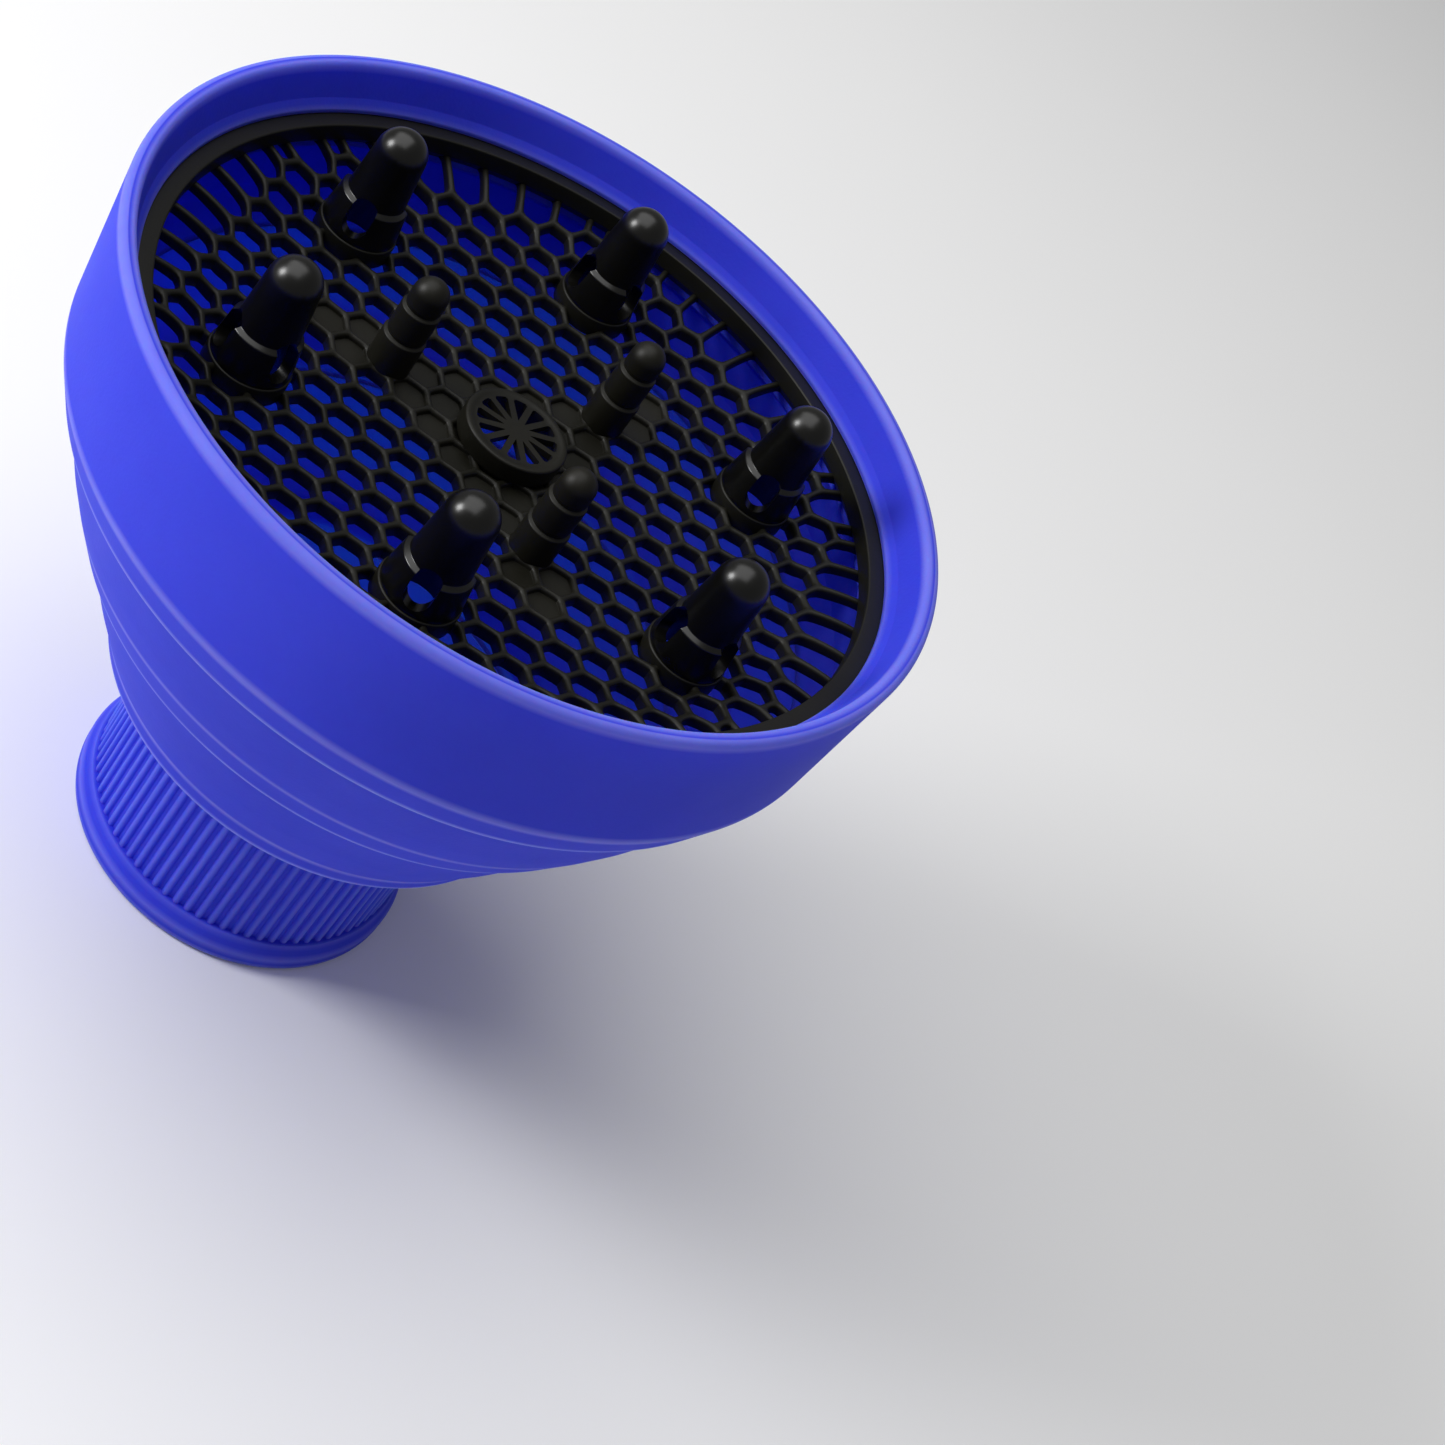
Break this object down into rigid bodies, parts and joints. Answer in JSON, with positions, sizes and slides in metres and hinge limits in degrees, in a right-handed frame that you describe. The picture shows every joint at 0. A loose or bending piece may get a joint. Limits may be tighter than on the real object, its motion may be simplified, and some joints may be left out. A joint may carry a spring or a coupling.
{
  "type": "hair dryer diffuser",
  "caption": "Collapsible silicone hair dryer diffuser: ribbed neck, stepped bellows and wide skirt holding a dished honeycomb grille with finger prongs.",
  "frame": {"origin": "centre of the neck's end face, on the bell's axis", "axes": "+Z along the bell's axis, out of the mouth; the first tall finger stands towards +Y"},
  "size_m": [0.16, 0.16, 0.1451],
  "materials": {
    "silicone": "matte blue silicone with a fine moulded grain",
    "plastic": "satin black moulded plastic"
  },
  "bodies": {
    "neck": {"neck_collar": "silicone", "inner_fold_web": "silicone"},
    "inner_tier": {"inner_tier_ring": "silicone", "middle_fold_web": "silicone"},
    "outer_tier": {"outer_tier_ring": "silicone", "outer_fold_web": "silicone"},
    "skirt": {"skirt": "silicone", "grille_plate": "plastic", "vent_cap": "plastic", "outer_finger_1": "plastic", "outer_finger_2": "plastic", "outer_finger_3": "plastic", "outer_finger_4": "plastic", "outer_finger_5": "plastic", "outer_finger_6": "plastic", "inner_finger_1": "plastic", "inner_finger_2": "plastic", "inner_finger_3": "plastic"}
  },
  "joints": [
    {"name": "fold_inner", "type": "slide", "parent": "neck", "child": "inner_tier", "axis": [0, 0, -1], "range_m": [0, 0.0251], "deforming": ["inner_fold_web"]},
    {"name": "fold_middle", "type": "slide", "parent": "inner_tier", "child": "outer_tier", "axis": [0, 0, -1], "range_m": [0, 0.0288], "deforming": ["middle_fold_web"]},
    {"name": "fold_outer", "type": "slide", "parent": "outer_tier", "child": "skirt", "axis": [0, 0, -1], "range_m": [0, 0.0268], "deforming": ["outer_fold_web"]}
  ]
}
